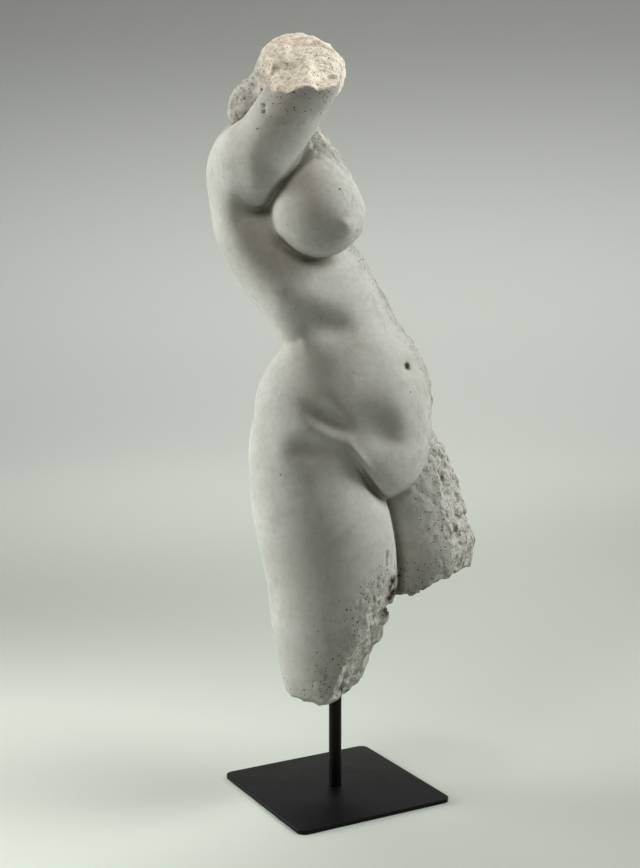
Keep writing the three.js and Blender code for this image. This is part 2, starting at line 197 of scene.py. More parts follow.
def knot(i, j, k):
    n = i * np.uint32(73856093) ^ j * np.uint32(19349663) ^ k * np.uint32(83492791)
    n = (n ^ (n >> np.uint32(13))) * np.uint32(1274126177)
    n = n ^ (n >> np.uint32(16))
    return n.astype(float) / 2147483648.0 - 1.0


def relief(x, y, z):
    """Smooth random relief from -1 to 1 on a lattice of whole numbers, the same on every run."""
    cells = []
    fades = []
    for value in (x, y, z):
        whole = np.floor(value)
        t = value - whole
        fades.append(t * t * t * (t * (t * 6.0 - 15.0) + 10.0))
        low = whole.astype(np.int64)
        cells.append(((low & 0xFFFFFFFF).astype(np.uint32), ((low + 1) & 0xFFFFFFFF).astype(np.uint32)))
    (i0, i1), (j0, j1), (k0, k1) = cells
    u, v, w = fades

    def layer(k):
        near = knot(i0, j0, k) * (1.0 - u) + knot(i1, j0, k) * u
        far = knot(i0, j1, k) * (1.0 - u) + knot(i1, j1, k) * u
        return near * (1.0 - v) + far * v

    return layer(k0) * (1.0 - w) + layer(k1) * w


def rubble(x, y, z):
    """Broken plaster: coarse lumps with smaller ones on them."""
    small = 3.0 * np.abs(relief(x / 12.0 + 7.0, y / 12.0, z / 12.0)) - 1.0
    return 3.2 * relief(x / 21.0, y / 21.0, z / 21.0) + 1.8 * small


# The carving is drawn in its own millimetres, in this box, and then fitted to the solid's height.
DRAWN_LOW = [-134, -92, 74]
DRAWN_HIGH = [150, 156, 721]

TRUNK = stack([
    [250, 4, 34, 92, 50, 58, 84],
    [300, 8, 34, 103, 56, 62, 94],
    [345, 11, 34, 102, 64, 60, 96],
    [385, 16, 33, 94, 66, 54, 90],
    [420, 14, 32, 84, 58, 48, 80],
    [450, -1, 32, 78, 53, 48, 76],
    [485, -21, 33, 79, 54, 56, 82],
    [520, -38, 33, 83, 56, 61, 83],
    [560, -46, 33, 83, 54, 62, 77],
    [590, -52, 35, 74, 47, 58, 68],
    [615, -60, 38, 52, 36, 48, 50],
    [640, -66, 38, 36, 30, 40, 34],
], FRONT_TURN, 274, 636)
RIGHT_THIGH = stack([
    [60, -5, 0, 36, 40, 40, 34],
    [100, -5, 0, 47, 46, 46, 42],
    [130, -4, 0, 52, 52, 51, 50],
    [165, -4, 0, 58, 57, 56, 56],
    [200, -4, 1, 62, 61, 58, 60],
    [235, -8, 2, 65, 64, 61, 63],
    [270, -14, 4, 65, 65, 64, 64],
    [305, -19, 8, 60, 62, 66, 61],
    [350, -22, 14, 46, 54, 58, 56],
], 20, 60, 362)
LEFT_THIGH = taper([58, 70, 300], [98, 48, 186], 58, 55)
RIGHT_BUTTOCK = ellipsoid([-28, 32, 312], [52, 48, 56])
LEFT_BUTTOCK = ellipsoid([34, 84, 302], [52, 50, 54])
RIGHT_HIP = ellipsoid([-27, 16, 366], [52, 46, 60])
MOUND = ellipsoid([52, -3, 340], [47, 23, 46], -4)
BREAST = ellipsoid([-16, -25, 544], [42, 39, 41])
BREAST_TIP = taper([-12, -29, 545], [4, -52, 535], 33, 10)
BREAST_TOP = ellipsoid([-28, 2, 577], [34, 26, 50], 14)
UPPER_ARM = taper([-65.5, -36, 597], [-25, -41, 658], 29.5, 28)
SHOULDER = ellipsoid([-76, 0, 586], [30, 34, 37], 0)
UPPER_ARM_ROOT = ellipsoid([-77, -22, 590], [26, 31, 33], 0, -10)
FLANK = taper([-84, 26, 583], [-56, 30, 480], 24, 22)
SHOULDER_BLADE = ellipsoid([-84, 58, 556], [34, 22, 44], 0, 20)
NECK = taper([-60, 38, 600], [-58, 22, 650], 36, 24)
HEAD_LOW = ellipsoid([-76, 17, 640], [23, 24, 28])
HEAD_TOP = taper([-56, 6, 655], [-35, -4, 673], 24.5, 29.5)
HEAD_END = taper([-35, -4, 673], [-17, -10, 668], 29.5, 25)

# carved lines as the viewer sees them: points x and z, half width, depth; a negative depth is a ridge
LINES = [
    [[[42, 343], [62, 338], [84, 340]], 7, 0.8],
    [[[46, 490], [60, 440], [65, 412]], 11, 1.8],
    [[[64.8, 407.5], [65.2, 406]], 2.6, 4.5],
    [[[-58, 426], [-36, 431]], 5, 2],
    [[[-48, 466], [-10, 470], [28, 478]], 14, -3.4],
    [[[-80, 622], [-86, 596], [-82, 562]], 9, 1.8],
    [[[-48, 518], [-34, 509], [-14, 505], [6, 508], [20, 517]], 7, 4],
    [[[7, 534.5], [8, 534.5]], 5.5, -2.6],
]
# soft hollows and swellings: centre x and z, half width, half height, turn, depth
HOLLOWS = [
    [-8, 366, 20, 9, -36, 7.5],
    [-12, 350, 24, 8, -20, -1.6],
    [20, 327, 22, 6, -57, -3.6],
    [28, 309, 26, 4, -59, 6],
    [-24, 339, 17, 12, 10, 4.5],
    [39, 350, 20, 18, -20, 9.5],
    [62, 384, 24, 34, 0, -4],
    [-6, 442, 23, 14, 0, 8.5],
]
# the broken left side: height, body axis x and y, how far left of that axis the plaster still stands
LEFT_EDGE = [
    [120, 0, 34, 130], [250, 4, 34, 118], [330, 8, 34, 88], [380, 14, 32, 62], [415, 15, 32, 46],
    [440, 6, 32, 42], [475, -15, 33, 40], [520, -38, 33, 32], [560, -46, 33, 26], [600, -54, 34, 30],
    [700, -78, 34, 90],
]
# the ragged front rim of that break: height, how far right it reaches as the viewer sees it
FRONT_RIM = [
    [200, 140], [320, 104], [334, 97], [378, 96], [411, 90], [435, 73], [470, 57], [502, 36], [522, 36],
    [545, 42], [568, 34], [592, 12], [612, -8], [640, -16], [700, -16],
]
ARM_BREAK = unit([0, -0.58, 0.81])
HEAD_BREAK = unit([0.05, -0.66, 0.75])
THIGH_BREAK = unit([0.85, -0.35, -0.42])
STUB_BREAK = unit([0.3, -0.1, -1])
STUB_SIDE_HIGH = unit([0.86, -0.4, 0.31])
STUB_SIDE_LOW = unit([0.86, -0.4, -0.34])
STUB_BREAKS = [([88, 50, 194], STUB_BREAK), ([122, 66, 283], STUB_SIDE_HIGH), ([142, 66, 234], STUB_SIDE_LOW)]

# small chips and gouges, only as deep as a few millimetres: centre x and z, half width, half height, turn, depth
CHIPS = [
    [48, 205, 4.5, 9, -38, 5.0],
    [50, 193, 3.5, 6, -30, 3.5],
    [46, 177, 7, 5, 20, 4.0],
    [46, 236, 1.5, 6, -10, 1.2],
    [117, 233, 6, 4, 10, 3.0],
    [99, 205, 9, 8, 30, 4.0],
    [-62, 635, 1.6, 1.6, 0, 2.5],
    [-62, 630, 1.8, 1.6, 0, 2.5],
]


def distance_to_line(x, z, points):
    least = np.full_like(x, np.inf)
    for (ax, az), (bx, bz) in zip(points, points[1:]):
        dx, dz = bx - ax, bz - az
        t = np.clip(((x - ax) * dx + (z - az) * dz) / (dx * dx + dz * dz), 0.0, 1.0)
        least = np.minimum(least, np.hypot(x - ax - dx * t, z - az - dz * t))
    return least


def carving(x, y, z):
    deep = np.zeros_like(x)
    for points, half, depth in LINES:
        r = distance_to_line(x, z, points) / half
        deep += depth * np.exp(-r * r)
    for cx, cz, half_wide, half_high, turn, depth in HOLLOWS:
        c, s = math.cos(math.radians(turn)), math.sin(math.radians(turn))
        p = ((x - cx) * c + (z - cz) * s) / half_wide
        q = ((z - cz) * c - (x - cx) * s) / half_high
        deep += depth * np.exp(-p * p - q * q)
    for cx, cz, half_wide, half_high, turn, depth in CHIPS:
        c, s = math.cos(math.radians(turn)), math.sin(math.radians(turn))
        p = ((x - cx) * c + (z - cz) * s) / half_wide
        q = ((z - cz) * c - (x - cx) * s) / half_high
        deep += depth * np.exp(-p ** 4 - q ** 4)
    return deep * (1.0 - smoothstep(8.0, 40.0, y))


def crumbs(x, y, z):
    """The grain of a break, finer than the rubble that the solid has."""
    return 0.9 * relief(x / 6.5, y / 6.5, z / 6.5) + 0.9 * np.abs(relief(x / 3.4, y / 3.4, z / 3.4)) - 0.3


def pocks(x, y, z):
    """Small holes two or three millimetres wide."""
    return 3.6 * np.maximum(relief(x / 4.2 + 3.0, y / 4.2, z / 4.2) - 0.28, 0.0)


def armpit(x, y, z):
    across = (x + 72.0 + 0.5 * (z - 546.0)) / 22.0
    along = (z - 546.0) / 34.0
    under = distance_to_line(x, z, ((-66.0, 553.0), (-42.0, 583.0), (-20.0, 609.0))) / 11.0
    deep = 14.0 * np.exp(-across * across - along * along) + 8.0 * np.exp(-under * under)
    return deep * (1.0 - smoothstep(0.0, 30.0, y))


def torso_field(x, y, z):
    """The distance to the cast's surface, and how far each point belongs to a break, from 0 to 1."""
    rough = rubble(x, y, z)
    _, axis_x, axis_y, reach = row_at(LEFT_EDGE, z)
    left = (x - axis_x) * LEFT[0] + (y - axis_y) * LEFT[1]
    # the trunk, without limbs
    d = TRUNK(x, y, z)
    d = join(d, RIGHT_HIP(x, y, z), 14.0)
    d = join(d, join(RIGHT_BUTTOCK(x, y, z), LEFT_BUTTOCK(x, y, z), 6.0), 24.0)
    d = join(d, FLANK(x, y, z), 24.0)
    d = join(d, SHOULDER_BLADE(x, y, z), 26.0)
    d = join(d, MOUND(x, y, z), 24.0)
    # the spine's furrow, only on the back
    behind = smoothstep(20.0, 60.0, y * LEFT[0] - x * LEFT[1] + 20.0)
    furrow = behind * np.exp(-((left / 13.0) ** 2))
    d = d + 5.0 * furrow * smoothstep(285.0, 330.0, z) * (1.0 - smoothstep(585.0, 620.0, z))
    # thighs, each with its own break
    stub = LEFT_THIGH(x, y, z)
    stub_cut = np.full_like(x, -100.0)
    for point, normal in STUB_BREAKS:
        cut = beyond(x, y, z, point, normal) - rough
        stub_cut = np.maximum(stub_cut, cut)
        stub = trim(stub, cut, 3.5)
    broken = np.where(stub < d, smoothstep(-2.5, -0.4, stub_cut), 0.0)
    worn = np.where(stub < d, smoothstep(-30.0, -3.0, stub_cut), 0.0)
    d = join(d, stub, 3.0)
    thigh_cut = beyond(x, y, z, (31.0, 0.0, 143.0), THIGH_BREAK) - rough
    thigh = trim(RIGHT_THIGH(x, y, z), thigh_cut, 3.0)
    broken = np.where(thigh < d, smoothstep(-2.5, -0.4, thigh_cut), broken)
    worn = np.where(thigh < d, smoothstep(-26.0, -3.0, thigh_cut), worn)
    d = join(d, thigh, 2.5 + 7.0 * smoothstep(292.0, 330.0, z))
    d = join(d, NECK(x, y, z), 12.0)
    d = join(d, BREAST_TOP(x, y, z), 26.0)
    # the hollow under the raised arm
    d = d + armpit(x, y, z)
    breast = join(BREAST(x, y, z), BREAST_TIP(x, y, z), 14.0)
    d = join(d, breast, 4.0 + 34.0 * smoothstep(540.0, 588.0, z))
    # the broken left side and its front rim
    side_cut = (left - reach) * 0.85 - rough
    rim_cut = (x - row_at(FRONT_RIM, z)[1]) * 0.93 - y * 0.2 - rough * 0.8
    d = trim(d, side_cut, 6.0)
    d = trim(d, rim_cut, 6.0)
    broken = np.maximum(broken, smoothstep(-3.0, -0.4, np.maximum(side_cut, rim_cut)))
    worn = np.maximum(worn, smoothstep(-28.0, -4.0, np.maximum(side_cut, rim_cut)))
    # the raised arm melts into the shoulder but stands clear of the chest
    soft = 2.5 + 15.0 * smoothstep(-66.0, -98.0, x) + 8.0 * smoothstep(0.0, 30.0, y)
    arm = join(join(UPPER_ARM(x, y, z), UPPER_ARM_ROOT(x, y, z), 22.0), SHOULDER(x, y, z), 20.0)
    notch = 7.0 * np.exp(-(((x + 27.0) / 9.0) ** 2))
    arm_cut = beyond(x, y, z - notch, (-30.0, -58.0, 652.5), ARM_BREAK) - rough * 0.5
    arm = trim(arm, arm_cut, 3.0)
    broken = np.where(arm < d, smoothstep(-2.5, -0.4, arm_cut), broken)
    worn = np.where(arm < d, 0.0, worn)
    d = join(d, arm, soft)
    head = join(join(HEAD_LOW(x, y, z), HEAD_TOP(x, y, z), 8.0), HEAD_END(x, y, z), 16.0)
    head_cut = beyond(x, y, z, (-30.0, -58.0, 655.0), HEAD_BREAK) - rough * 0.4
    head = trim(head + rough * 0.35, head_cut, 5.0)
    broken = np.where(head < d, smoothstep(1.0, -1.0, head - d), broken)
    d = join(d, head, 3.0)
    d = d + carving(x, y, z)
    # the broken foot of the right thigh, a little lower in its middle
    foot = 90.6 + 0.0036 * ((x - 5.0) ** 2 + y * y) + rough * 0.6
    broken = np.maximum(broken, smoothstep(-3.0, -0.4, foot - z))
    d = trim(d, foot - z, 8.0)
    # the skin roughens and pits before it reaches a break
    d = d + np.maximum(broken, 0.7 * worn) * crumbs(x, y, z) + 0.5 * worn * pocks(x, y, z)
    # the drilled socket for the rod
    drill = np.maximum(np.hypot(x, y) - ROD_DIAMETER / 2 - SOCKET_CLEARANCE, z - TORSO_FOOT_HEIGHT - SOCKET_DEPTH)
    return np.maximum(d * 0.8, -drill), broken


def in_blocks(function, points, size=30000):
    """Runs a field over many points, a block at a time on every core."""
    blocks = [np.ascontiguousarray(points[n:n + size].T) for n in range(0, len(points), size)]
    with ThreadPoolExecutor() as pool:
        parts = list(pool.map(lambda block: function(*block), blocks))
    return [np.concatenate(column) for column in zip(*parts)]


def sample_field(low, count, step):
    """Values of the field on a grid, worked out only near the surface."""
    coarse_step = 4
    coarse = [c // coarse_step + 2 for c in count]
    grid = np.stack(np.meshgrid(*[np.arange(c) for c in coarse], indexing="ij"), -1).reshape(-1, 3)
    value = in_blocks(torso_field, low + grid * step * coarse_step)[0].reshape(coarse)
    nearest = [np.minimum((np.arange(c) + coarse_step // 2) // coarse_step, m - 1) for c, m in zip(count, coarse)]
    values = value[np.ix_(*nearest)]
    close = np.argwhere(np.abs(values) < 9.0)
    values[tuple(close.T)] = in_blocks(torso_field, low + close * step)[0]
    values[values == 0.0] = 1e-6
    return values


def separate(values):
    """Turns over the weakest sample wherever two bodies would touch only at an edge or a corner."""
    steps = np.eye(3, dtype=int)
    for _ in range(30):
        inside = values < 0
        groups = []
        for axis in range(3):
            u, v = steps[(axis + 1) % 3], steps[(axis + 2) % 3]
            shape = [s - 1 if (u + v)[m] else s for m, s in enumerate(values.shape)]

            def part(offset):
                return inside[tuple(slice(o, o + s) for o, s in zip(offset, shape))]

            a, b, c, d = part(u * 0), part(u), part(u + v), part(v)
            for n in np.argwhere((a == c) & (b == d) & (a != b)):
                groups.append([tuple(n), tuple(n + u), tuple(n + u + v), tuple(n + v)])
        corners = np.array([[c & 1, c >> 1 & 1, c >> 2] for c in range(8)])
        cell = [s - 1 for s in values.shape]
        signs = np.stack([inside[tuple(slice(o, o + s) for o, s in zip(c, cell))] for c in corners], -1)
        total = signs.sum(-1)
        for c in range(4):
            pair = signs[..., c] & signs[..., 7 - c] & (total == 2)
            pair |= ~signs[..., c] & ~signs[..., 7 - c] & (total == 6)
            for n in np.argwhere(pair):
                groups.append([tuple(n + corners[c]), tuple(n + corners[7 - c])])
        if not groups:
            return
        for group in groups:
            weakest = min(group, key=lambda n: abs(values[n]))
            values[weakest] = 1e-3 if values[weakest] < 0 else -1e-3


def net_surface(low, high, step):
    """One vertex in each cell that the surface passes through, one quad round each crossed grid edge."""
    count = [int(math.ceil((h - l) / step)) + 1 for l, h in zip(low, high)]
    low = np.array(low, float)
    values = sample_field(low, count, step)
    separate(values)
    inside = values < 0
    cell = [c - 1 for c in count]
    corners = np.array([[c & 1, c >> 1 & 1, c >> 2] for c in range(8)])
    total = sum(inside[tuple(slice(o, o + s) for o, s in zip(c, cell))].astype(int) for c in corners)
    active = np.argwhere((total > 0) & (total < 8))
    vertex_of = np.full(cell, -1, dtype=np.int64)
    vertex_of[tuple(active.T)] = np.arange(len(active))
    v = np.stack([values[tuple((active + c).T)] for c in corners], -1)
    places = np.zeros((len(active), 3))
    crossings = np.zeros(len(active))
    for c in range(8):
        for axis in range(3):
            other = c | 1 << axis
            if other == c:
                continue
            crossed = (v[:, c] < 0) != (v[:, other] < 0)
            t = v[crossed, c] / (v[crossed, c] - v[crossed, other])
            places[crossed] += corners[c]
            places[crossed, axis] += t
            crossings[crossed] += 1
    places = low + (active + places / crossings[:, None]) * step
    cell_low = low + active * step
    places, slope = settle(places, cell_low, step)
    quads = []
    steps = np.eye(3, dtype=int)
    for axis in range(3):
        u, w = steps[(axis + 1) % 3], steps[(axis + 2) % 3]
        shape = [slice(1, c - 1) for c in count]
        ahead = [slice(1 + steps[axis][m], c - 1 + steps[axis][m]) for m, c in enumerate(count)]
        here, there = inside[tuple(shape)], inside[tuple(ahead)]
        for way, order in ((here & ~there, (0, 1, 2, 3)), (~here & there, (3, 2, 1, 0))):
            n = np.argwhere(way) + 1
            ring = [n - u - w, n - w, n, n - u]
            quads.append(np.stack([vertex_of[tuple(ring[m].T)] for m in order], -1))
    return places, np.concatenate(quads), slope


def settle(places, cell_low, step):
    """Moves the vertices onto the surface, each within its own cell, and gives the way out there."""
    e = 0.05
    for _ in range(2):
        value = in_blocks(torso_field, places)[0]
        slope = np.empty_like(places)
        for axis in range(3):
            ahead = places.copy()
            ahead[:, axis] += e
            slope[:, axis] = (in_blocks(torso_field, ahead)[0] - value) / e
        g2 = np.maximum((slope ** 2).sum(1), 1e-6)
        places = places - (0.9 * value / g2)[:, None] * slope
        places = np.clip(places, cell_low + 0.06 * step, cell_low + 0.94 * step)
    return places, slope / np.sqrt(g2)[:, None]


def mesh_object(name, verts, faces, body="root"):
    data = bpy.data.meshes.new(name)
    data.from_pydata([tuple(v) for v in verts], [], [tuple(f) for f in faces])
    data.validate()
    data.update()
    piece = bpy.data.objects.new(name, data)
    bpy.context.collection.objects.link(piece)
    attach(piece, body)
    return piece


def net_object(name, verts, faces):
    """A mesh straight from arrays, for the large cast."""
    data = bpy.data.meshes.new(name)
    data.vertices.add(len(verts))
    data.vertices.foreach_set("co", np.asarray(verts, np.float32).ravel())
    data.loops.add(faces.size)
    data.loops.foreach_set("vertex_index", faces.astype(np.int32).ravel())
    data.polygons.add(len(faces))
    sides = faces.shape[1]
    data.polygons.foreach_set("loop_start", np.arange(len(faces), dtype=np.int32) * sides)
    data.polygons.foreach_set("use_smooth", np.ones(len(faces), dtype=bool))
    data.update(calc_edges=True)
    data.validate()
    piece = bpy.data.objects.new(name, data)
    bpy.context.collection.objects.link(piece)
    return piece


def add_attribute(piece, name, values):
    layer = piece.data.attributes.new(name, "FLOAT", "POINT")
    layer.data.foreach_set("value", np.asarray(values, np.float32))


FIT_MARGIN = 1.0004


def to_row(points, low, high):
    """From the figure's own millimetres to the frame: turned on its stand and fitted to the solid's box."""
    node_low, node_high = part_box("torso")
    scale = (node_high[2] - node_low[2]) / (high - low)
    c, s = math.cos(math.radians(TORSO_TURN)), math.sin(math.radians(TORSO_TURN))
    x, y, z = points.T
    placed = np.stack([(x * c - y * s) * scale, (x * s + y * c) * scale, node_low[2] + (z - low) * scale], -1)
    # the solid's facets cut its widest curves a hair short, so the sides are drawn in to match
    for axis in range(2):
        over = max(placed[:, axis].max() / node_high[axis], placed[:, axis].min() / node_low[axis])
        placed[:, axis] /= max(1.0, over * FIT_MARGIN)
    return placed


def surface_marks(verts, faces, slope):
    """What the plaster's finish needs at each vertex: on a break, on the topmost break, near one, in a hollow."""
    broken = in_blocks(torso_field, verts)[1]
    # hollow: how deep a vertex lies in a crease; the plaster is darkened by it as painted shade
    reach = 9.0
    out = in_blocks(torso_field, verts + slope * reach)[0]
    hollow = np.clip(1.0 - out / (0.8 * reach), 0.0, 1.0)
    # the mark fades over NEAR_BREAK millimetres of surface
    near = broken.copy()
    loss = FINE_STEP / NEAR_BREAK
    for _ in range(int(1.0 / loss)):
        for side in range(4):
            a, b = faces[:, side], faces[:, (side + 1) % 4]
            np.maximum.at(near, a, near[b] - loss)
            np.maximum.at(near, b, near[a] - loss)
    # only the topmost break is coloured a near-white cream; the others are grey like the skin
    x, _, z = verts.T
    top_region = smoothstep(600.0, 640.0, z) * smoothstep(-76.0, -56.0, x)
    return broken, top_region, near, hollow


def thin_out(piece, limit):
    """Merges the flattest triangles until the piece is under the limit, its attributes kept."""
    quads = len(piece.data.polygons)
    modifier = piece.modifiers.new("thin", "DECIMATE")
    modifier.ratio = min(1.0, limit / (2.0 * quads))
    bpy.context.view_layer.update()
    shown = piece.evaluated_get(bpy.context.evaluated_depsgraph_get())
    thinned = bpy.data.meshes.new_from_object(shown)
    piece.modifiers.clear()
    piece.data = thinned


def linear(code):
    """An sRGB hex colour as linear red, green and blue, with an alpha of one."""
    parts = [int(code[n:n + 2], 16) / 255.0 for n in (1, 3, 5)]
    return tuple(c / 12.92 if c <= 0.04045 else ((c + 0.055) / 1.055) ** 2.4 for c in parts) + (1.0,)


def add(tree, kind, sockets, **settings):
    """Adds a shader node. A socket takes a plain value, or another node's output to link from."""
    made = tree.nodes.new("ShaderNode" + kind)
    for key, value in settings.items():
        setattr(made, key, value)
    for key, value in sockets.items():
        if isinstance(value, bpy.types.NodeSocket):
            tree.links.new(value, made.inputs[key])
        else:
            made.inputs[key].default_value = value
    return made


def new_material(name):
    material = bpy.data.materials.new(name)
    material.use_nodes = True
    material.node_tree.nodes.clear()
    return material, material.node_tree


def per_mm(size):
    """A texture scale whose pattern repeats about every size millimetres, on coordinates in metres."""
    return 1000.0 / size


# pinholes in millimetres: how far apart, the share of places that hold one away from a break and near
# one, and their smallest and largest radius
PINHOLES = [(2.4, 0.002, 0.8, 0.3, 0.8), (5.0, 0.004, 0.6, 0.5, 1.1), (17.0, 0.04, 0.4, 0.6, 1.5)]


def cast_gypsum_plaster():
    """Gypsum plaster cast in a mould and left bare: chalky, matt, a warm grey white, with the pinholes
    that air bubbles leave, their insides painted dark as painted shade. Where it broke it is crumbly,
    cream on the topmost break, and painted shade darkens the deep places and creases."""
    material, tree = new_material("cast_gypsum_plaster")
    where = add(tree, "TexCoord", {}).outputs["Object"]
    broken = add(tree, "Attribute", {}, attribute_name="broken").outputs["Fac"]
    on_top_break = add(tree, "Attribute", {}, attribute_name="top_break").outputs["Fac"]
    near = add(tree, "Attribute", {}, attribute_name="near_break").outputs["Fac"]
    hollow = add(tree, "Attribute", {}, attribute_name="hollow").outputs["Fac"]

    # the skin: broad clouds of two greys, smudges a centimetre or two wide, faint mottling
    clouds = add(tree, "TexNoise", {"Vector": where, "Scale": per_mm(70), "Detail": 3.0, "Roughness": 0.55})
    smudges = add(tree, "TexNoise", {"Vector": where, "Scale": per_mm(22), "Detail": 4.0, "Roughness": 0.6})
    mottle = add(tree, "TexNoise", {"Vector": where, "Scale": per_mm(6), "Detail": 4.0, "Roughness": 0.65})
    cloud_range = add(tree, "MapRange", {0: clouds.outputs["Fac"], 1: 0.35, 2: 0.65})
    skin = add(tree, "Mix", {0: cloud_range.outputs[0], 6: linear("#cfceca"), 7: linear("#bfbdb7")},
               data_type="RGBA")
    smudge_range = add(tree, "MapRange", {0: smudges.outputs["Fac"], 1: 0.55, 2: 0.75, 3: 0.0, 4: 0.5})
    skin = add(tree, "Mix", {0: smudge_range.outputs[0], 6: skin.outputs[2], 7: linear("#9f9c94")},
               data_type="RGBA")
    mottle_range = add(tree, "MapRange", {0: mottle.outputs["Fac"], 1: 0.4, 2: 0.7, 3: 0.0, 4: 0.4})
    skin = add(tree, "Mix", {0: mottle_range.outputs[0], 6: skin.outputs[2], 7: linear("#aaa69d")},
               data_type="RGBA")

    # the skin greys toward a break, where handling has worn it
    wear = add(tree, "MapRange", {0: near, 1: 0.1, 2: 1.0, 3: 0.0, 4: 0.9})
    wear = add(tree, "Math", {0: wear.outputs[0], 1: smudges.outputs["Fac"]}, operation="MULTIPLY")
    skin = add(tree, "Mix", {0: wear.outputs[0], 6: skin.outputs[2], 7: linear("#8f8a80")},
               data_type="RGBA")

    # the breaks: pale crumbs with darker dust between them
    crumbs = add(tree, "TexNoise", {"Vector": where, "Scale": per_mm(4.5), "Detail": 5.0, "Roughness": 0.7})
    crumb_range = add(tree, "MapRange", {0: crumbs.outputs["Fac"], 1: 0.36, 2: 0.54})
    greyed = add(tree, "Mix", {0: crumb_range.outputs[0], 6: linear("#9c9890"), 7: linear("#cdcac3")},
                 data_type="RGBA")
    cream = add(tree, "Mix", {0: crumb_range.outputs[0], 6: linear("#d6c7b1"), 7: linear("#fff4e4")},
                data_type="RGBA")
    # the break at the top of the figure is coloured cream, the lower breaks grey
    rubble = add(tree, "Mix", {0: on_top_break, 6: greyed.outputs[2], 7: cream.outputs[2]}, data_type="RGBA")
    colour = add(tree, "Mix", {0: broken, 6: skin.outputs[2], 7: rubble.outputs[2]}, data_type="RGBA")
    # painted shade: deep places and creases are darkened toward #7d776b by the hollow mark, less on the topmost
    # break
    crease_shade = add(tree, "MapRange", {0: hollow, 1: 0.15, 2: 0.9, 3: 0.0, 4: 0.7})
    crease_shade_share = add(tree, "MapRange", {0: on_top_break, 1: 0.0, 2: 1.0, 3: 1.0, 4: 0.35})
    painted_crease_shade = add(tree, "Math", {0: crease_shade.outputs[0], 1: crease_shade_share.outputs[0]}, operation="MULTIPLY")
    colour = add(tree, "Mix", {0: painted_crease_shade.outputs[0], 6: colour.outputs[2], 7: linear("#7d776b")},
                 data_type="RGBA")

    # pinholes: only some cells hold one, more of them close to a break; then a few large bubbles
    on_skin = add(tree, "MapRange", {0: broken, 1: 0.0, 2: 1.0, 3: 1.0, 4: 0.35})
    pit_total = None
    for spacing, share_away, share_near, smallest, largest in PINHOLES:
        cells = add(tree, "TexVoronoi", {"Vector": where, "Scale": per_mm(spacing), "Randomness": 1.0})
        lot = add(tree, "SeparateColor", {"Color": cells.outputs["Color"]})
        share = add(tree, "MapRange", {0: near, 1: 0.0, 2: 0.9, 3: share_away, 4: share_near})
        share = add(tree, "Math", {0: share.outputs[0], 1: on_skin.outputs[0]}, operation="MULTIPLY")
        present = add(tree, "Math", {0: lot.outputs["Red"], 1: share.outputs[0]}, operation="LESS_THAN")
        radius = add(tree, "MapRange", {0: lot.outputs["Green"], 1: 0.0, 2: 1.0,
                                        3: smallest / spacing, 4: largest / spacing})
        inside = add(tree, "Math", {0: radius.outputs[0], 1: cells.outputs["Distance"]}, operation="SUBTRACT")
        pit = add(tree, "MapRange", {0: inside.outputs[0], 1: -0.15 / spacing, 2: 0.25 / spacing})
        pits = add(tree, "Math", {0: pit.outputs[0], 1: present.outputs[0]}, operation="MULTIPLY")
        if pit_total is None:
            pit_total = pits
        else:
            pit_total = add(tree, "Math", {0: pit_total.outputs[0], 1: pits.outputs[0]}, operation="MAXIMUM")
    # painted shade: the pinholes are coloured dark toward #4a453d, as the shade inside the holes
    pit_shade = add(tree, "Math", {0: pit_total.outputs[0], 1: 0.85}, operation="MULTIPLY")
    colour = add(tree, "Mix", {0: pit_shade.outputs[0], 6: colour.outputs[2], 7: linear("#4a453d")},
                 data_type="RGBA")

    # relief too fine for the mesh: a chalky grain, the pinholes, and crumbs on the breaks
    grain = add(tree, "TexNoise", {"Vector": where, "Scale": per_mm(1.6), "Detail": 3.0, "Roughness": 0.6})
    grain_height = add(tree, "Math", {0: grain.outputs["Fac"], 1: 0.18}, operation="MULTIPLY")
    crumb_depth = add(tree, "Math", {0: crumbs.outputs["Fac"], 1: broken}, operation="MULTIPLY")
    height = add(tree, "Math", {0: crumb_depth.outputs[0], 1: 2.8, 2: grain_height.outputs[0]},
                 operation="MULTIPLY_ADD")
    height = add(tree, "Math", {0: pit_total.outputs[0], 1: -0.9, 2: height.outputs[0]},
                 operation="MULTIPLY_ADD")
    bump = add(tree, "Bump", {"Height": height.outputs[0], "Strength": 0.8, "Distance": 0.001})
    shader = add(tree, "BsdfPrincipled", {
        "Base Color": colour.outputs[2],
        "Roughness": 0.88,
        "IOR": 1.52,
        "Specular IOR Level": 0.3,
        "Normal": bump.outputs[0],
    })
    add(tree, "OutputMaterial", {"Surface": shader.outputs[0]})
    return material


def satin_black_paint():
    """Steel sprayed with satin black paint: nearly black with a breath of green, its sheen broken by a
    faint orange-peel, so that what stands on it is mirrored only softly."""
    material, tree = new_material("satin_black_paint")
    where = add(tree, "TexCoord", {}).outputs["Object"]
    cloud = add(tree, "TexNoise", {"Vector": where, "Scale": per_mm(30), "Detail": 3.0})
    tint = add(tree, "Mix", {0: cloud.outputs["Fac"], 6: linear("#060707"), 7: linear("#0a0c0c")},
               data_type="RGBA")
    dull = add(tree, "MapRange", {0: cloud.outputs["Fac"], 1: 0.3, 2: 0.7, 3: 0.40, 4: 0.48})
    peel = add(tree, "TexNoise", {"Vector": where, "Scale": per_mm(1.4), "Detail": 2.0})
    bump = add(tree, "Bump", {"Height": peel.outputs["Fac"], "Strength": 0.12, "Distance": 0.0002})
    shader = add(tree, "BsdfPrincipled", {
        "Base Color": tint.outputs[2],
        "Roughness": dull.outputs[0],
        "IOR": 1.4,
        "Specular IOR Level": 0.2,
        "Normal": bump.outputs[0],
    })
    add(tree, "OutputMaterial", {"Surface": shader.outputs[0]})
    return material


def seen(right, away, up):
    """A place given as the viewer sees it, in metres from the middle of the plate, in the frame."""
    a = math.radians(TORSO_TURN)
    return Vector((right * math.cos(a) - away * math.sin(a), right * math.sin(a) + away * math.cos(a), up))


